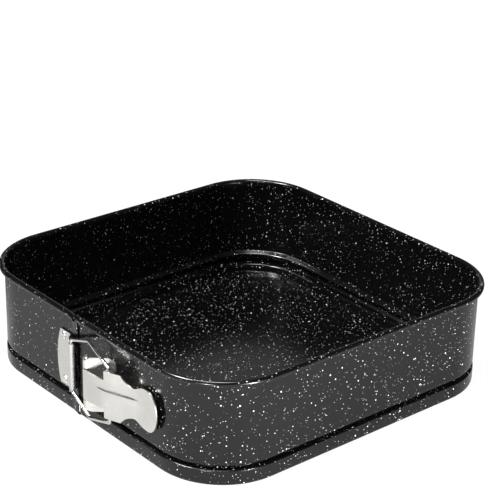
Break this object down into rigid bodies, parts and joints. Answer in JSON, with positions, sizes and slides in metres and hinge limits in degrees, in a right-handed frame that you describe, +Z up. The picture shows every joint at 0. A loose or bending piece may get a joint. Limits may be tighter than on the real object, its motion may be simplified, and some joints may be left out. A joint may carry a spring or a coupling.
{
  "type": "springform pan",
  "caption": "Square springform cake pan: loose base plate in a sprung band with rolled rim, closed by an over-centre wire latch and fish-tail lever.",
  "frame": {"origin": "centre of the base plate's flat underside, where the pan stands", "axes": "+Z up out of the pan's mouth; -Y is the wall that carries the latch; +X to the right when facing the latch"},
  "size_m": [0.25, 0.2588, 0.0693],
  "materials": {
    "granite_coating": "satin non-stick coating, near black with fine white speckles",
    "satin_steel": "satin"
  },
  "bodies": {
    "base": {"base_plate": "granite_coating"},
    "ring_back": {"band_back": "granite_coating"},
    "ring_left": {"band_left": "granite_coating", "anchor_plate": "satin_steel", "anchor_rivet_upper": "satin_steel", "anchor_rivet_lower": "satin_steel"},
    "ring_right": {"band_right": "granite_coating", "lever_bracket": "satin_steel", "bracket_rivet_upper": "satin_steel", "bracket_rivet_lower": "satin_steel", "hinge_pin": "satin_steel"},
    "wire": {"wire_link": "satin_steel"},
    "lever": {"lever": "satin_steel"}
  },
  "joints": [
    {"name": "ring_lift", "type": "slide", "parent": "base", "child": "ring_back", "axis": [0, 0, 1], "range_m": [0, 0.08]},
    {"name": "left_flex", "type": "hinge", "parent": "ring_back", "child": "ring_left", "pos_m": [-0.045, 0.1215, 0], "axis": [0, 0, -1], "range_deg": [0, 2.3]},
    {"name": "right_flex", "type": "hinge", "parent": "ring_back", "child": "ring_right", "pos_m": [0.045, 0.1215, 0], "axis": [0, 0, 1], "range_deg": [0, 2.3]},
    {"name": "wire_swing", "type": "hinge", "parent": "ring_left", "child": "wire", "pos_m": [-0.0095, -0.1247, 0.034], "axis": [0, 0, -1], "range_deg": [0, 22]},
    {"name": "lever_swing", "type": "hinge", "parent": "ring_right", "child": "lever", "pos_m": [0.016, -0.1315, 0.0352], "axis": [0, 0, -1], "range_deg": [0, 130]}
  ],
  "couplings": [
    {"joint": "left_flex", "follows": "lever_swing", "ratio": 0.01769},
    {"joint": "right_flex", "follows": "lever_swing", "ratio": 0.01769},
    {"joint": "wire_swing", "follows": "lever_swing", "ratio": 0.1692}
  ]
}
